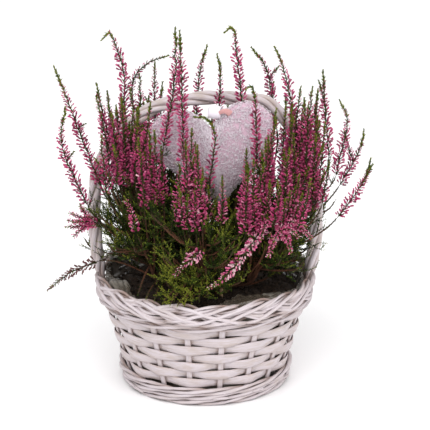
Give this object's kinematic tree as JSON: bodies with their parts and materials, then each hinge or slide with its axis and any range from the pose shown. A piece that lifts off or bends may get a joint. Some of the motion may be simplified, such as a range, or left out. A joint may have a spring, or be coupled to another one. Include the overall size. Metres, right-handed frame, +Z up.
{
  "type": "potted heather in a handled wicker basket",
  "caption": "Flowering heather with upright pink spikes, planted in a round whitewashed wicker basket with a tall twisted handle and a soft heart on a stick.",
  "frame": {"origin": "middle of the basket's flat underside, on the plane it stands on", "axes": "+Z up through the plant, +X towards the handle's right foot, -Y towards the front"},
  "size_m": [0.3226, 0.2418, 0.375],
  "materials": {
    "wicker": "whitewashed, worn",
    "film": "thin clear film, crumpled",
    "soil": "dark and crumbly",
    "foliage": "satin leaf",
    "flower": "soft petals",
    "green_tip": "soft buds",
    "faded_flower": "dry petals",
    "fleece": "curly fleece",
    "ribbon": "satin ribbon",
    "stick": "bare wood"
  },
  "bodies": {
    "root": {"basket_frame": "wicker", "border_back": "wicker", "border_front": "wicker", "branch_01": "foliage", "branch_02": "foliage", "branch_03": "foliage", "branch_04": "foliage", "branch_05": "foliage", "branch_06": "foliage", "branch_07": "foliage", "branch_08": "foliage", "branch_09": "foliage", "foot_wale": "wicker", "handle": "wicker", "heart": "fleece", "heart_ribbon": "ribbon", "heart_stick": "stick", "liner": "film", "rim_wale_1": "wicker", "rim_wale_2": "wicker", "soil": "soil", "spray_01": "flower", "spray_02": "flower", "spray_03": "flower", "spray_04": "flower", "spray_05": "green_tip", "spray_06": "flower", "spray_07": "flower", "spray_08": "flower", "spray_09": "flower", "spray_10": "flower", "spray_11": "flower", "spray_12": "flower", "spray_13": "flower", "spray_14": "flower", "spray_15": "flower", "spray_16": "flower", "spray_17": "flower", "spray_18": "flower", "spray_19": "flower", "spray_20": "flower", "spray_21": "faded_flower", "spray_22": "flower", "spray_23": "flower", "spray_24": "flower", "spray_25": "flower", "spray_26": "flower", "spray_27": "flower", "spray_28": "flower", "spray_29": "flower", "spray_30": "flower", "spray_31": "flower", "weaver_1": "wicker", "weaver_2": "wicker", "weaver_3": "wicker", "weaver_4": "wicker", "weaver_5": "wicker", "weaver_6": "wicker", "weaver_7": "wicker"}
  },
  "joints": []
}
